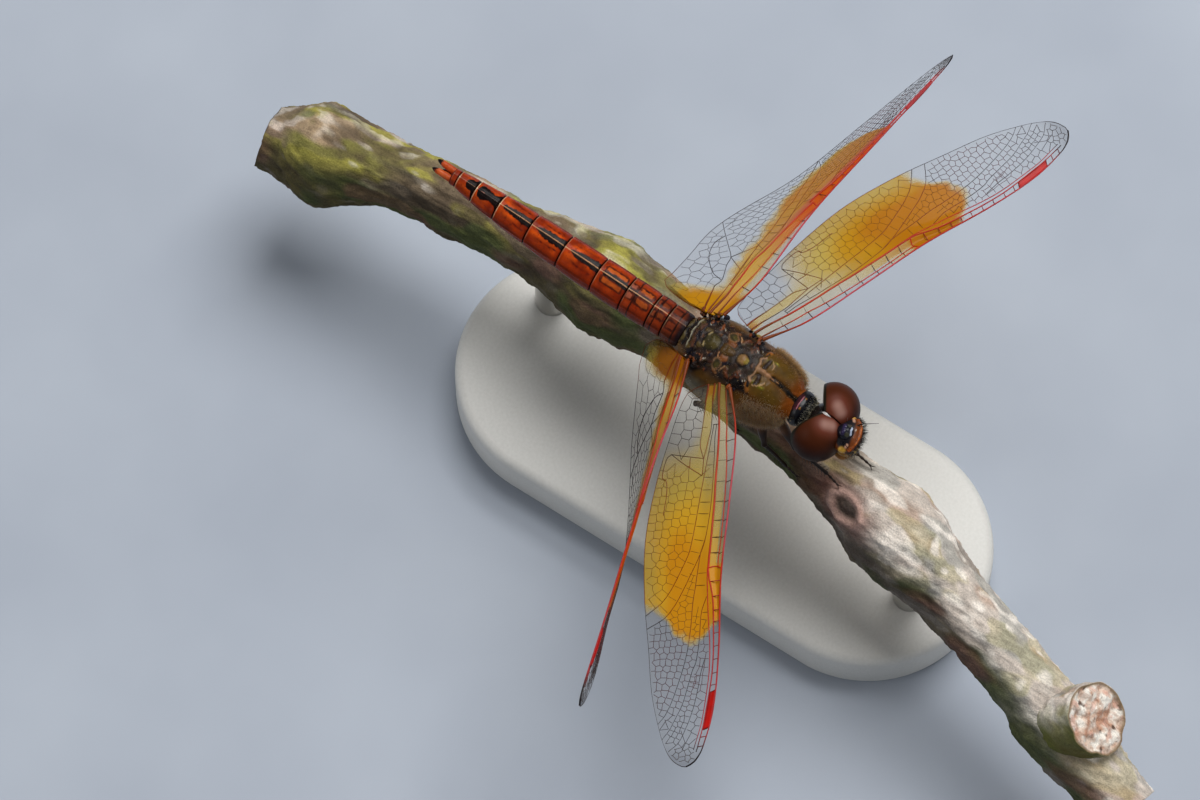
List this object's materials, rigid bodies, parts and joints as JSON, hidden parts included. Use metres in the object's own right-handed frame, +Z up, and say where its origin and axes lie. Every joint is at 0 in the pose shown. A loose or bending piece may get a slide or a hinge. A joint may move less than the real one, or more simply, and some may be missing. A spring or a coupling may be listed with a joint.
{
  "type": "dragonfly",
  "caption": "Life-size amber-winged male dragonfly gripping a short cut branch, held on rods over a flat base.",
  "frame": {"origin": "on the floor, at the centre of the flat underside of the stand's base", "axes": "+Z up; the animal faces -Y with its left side toward +X; the branch runs along Y below it"},
  "size_m": [0.0485, 0.0702, 0.0237],
  "materials": {
    "eye": "gloss",
    "head_shell": "gloss",
    "dark_shell": "gloss",
    "thorax_shell": "satin",
    "abdomen_shell": "gloss",
    "wing_membrane": "gloss",
    "leg_shell": "satin",
    "bark": "rough",
    "stand_base": "satin",
    "stand_rod": "satin"
  },
  "bodies": {
    "root": {"head_capsule": "dark_shell", "head_vertex": "dark_shell", "head_frons": "head_shell", "head_clypeus": "head_shell", "head_labrum": "head_shell", "head_labium": "head_shell", "eye_left": "eye", "eye_right": "eye", "antenna_left": "dark_shell", "antenna_right": "dark_shell", "prothorax": "dark_shell", "thorax": "thorax_shell", "abdomen_s1": "abdomen_shell", "abdomen_s2": "abdomen_shell", "abdomen_s3": "abdomen_shell", "abdomen_s4": "abdomen_shell", "abdomen_s5": "abdomen_shell", "abdomen_s6": "abdomen_shell", "abdomen_s7": "abdomen_shell", "abdomen_s8": "abdomen_shell", "abdomen_s9": "abdomen_shell", "abdomen_s10": "abdomen_shell", "epiproct": "abdomen_shell", "cercus_left": "abdomen_shell", "cercus_right": "abdomen_shell", "forewing_left": "wing_membrane", "forewing_right": "wing_membrane", "hindwing_left": "wing_membrane", "hindwing_right": "wing_membrane", "foreleg_left_femur": "leg_shell", "foreleg_left_tibia": "leg_shell", "foreleg_left_tarsus": "leg_shell", "foreleg_right_femur": "leg_shell", "foreleg_right_tibia": "leg_shell", "foreleg_right_tarsus": "leg_shell", "midleg_left_femur": "leg_shell", "midleg_left_tibia": "leg_shell", "midleg_left_tarsus": "leg_shell", "midleg_right_femur": "leg_shell", "midleg_right_tibia": "leg_shell", "midleg_right_tarsus": "leg_shell", "hindleg_left_femur": "leg_shell", "hindleg_left_tibia": "leg_shell", "hindleg_left_tarsus": "leg_shell", "hindleg_right_femur": "leg_shell", "hindleg_right_tibia": "leg_shell", "hindleg_right_tarsus": "leg_shell", "perch_branch": "bark", "stand_base": "stand_base", "stand_rod_1": "stand_rod", "stand_rod_2": "stand_rod"}
  },
  "joints": []
}
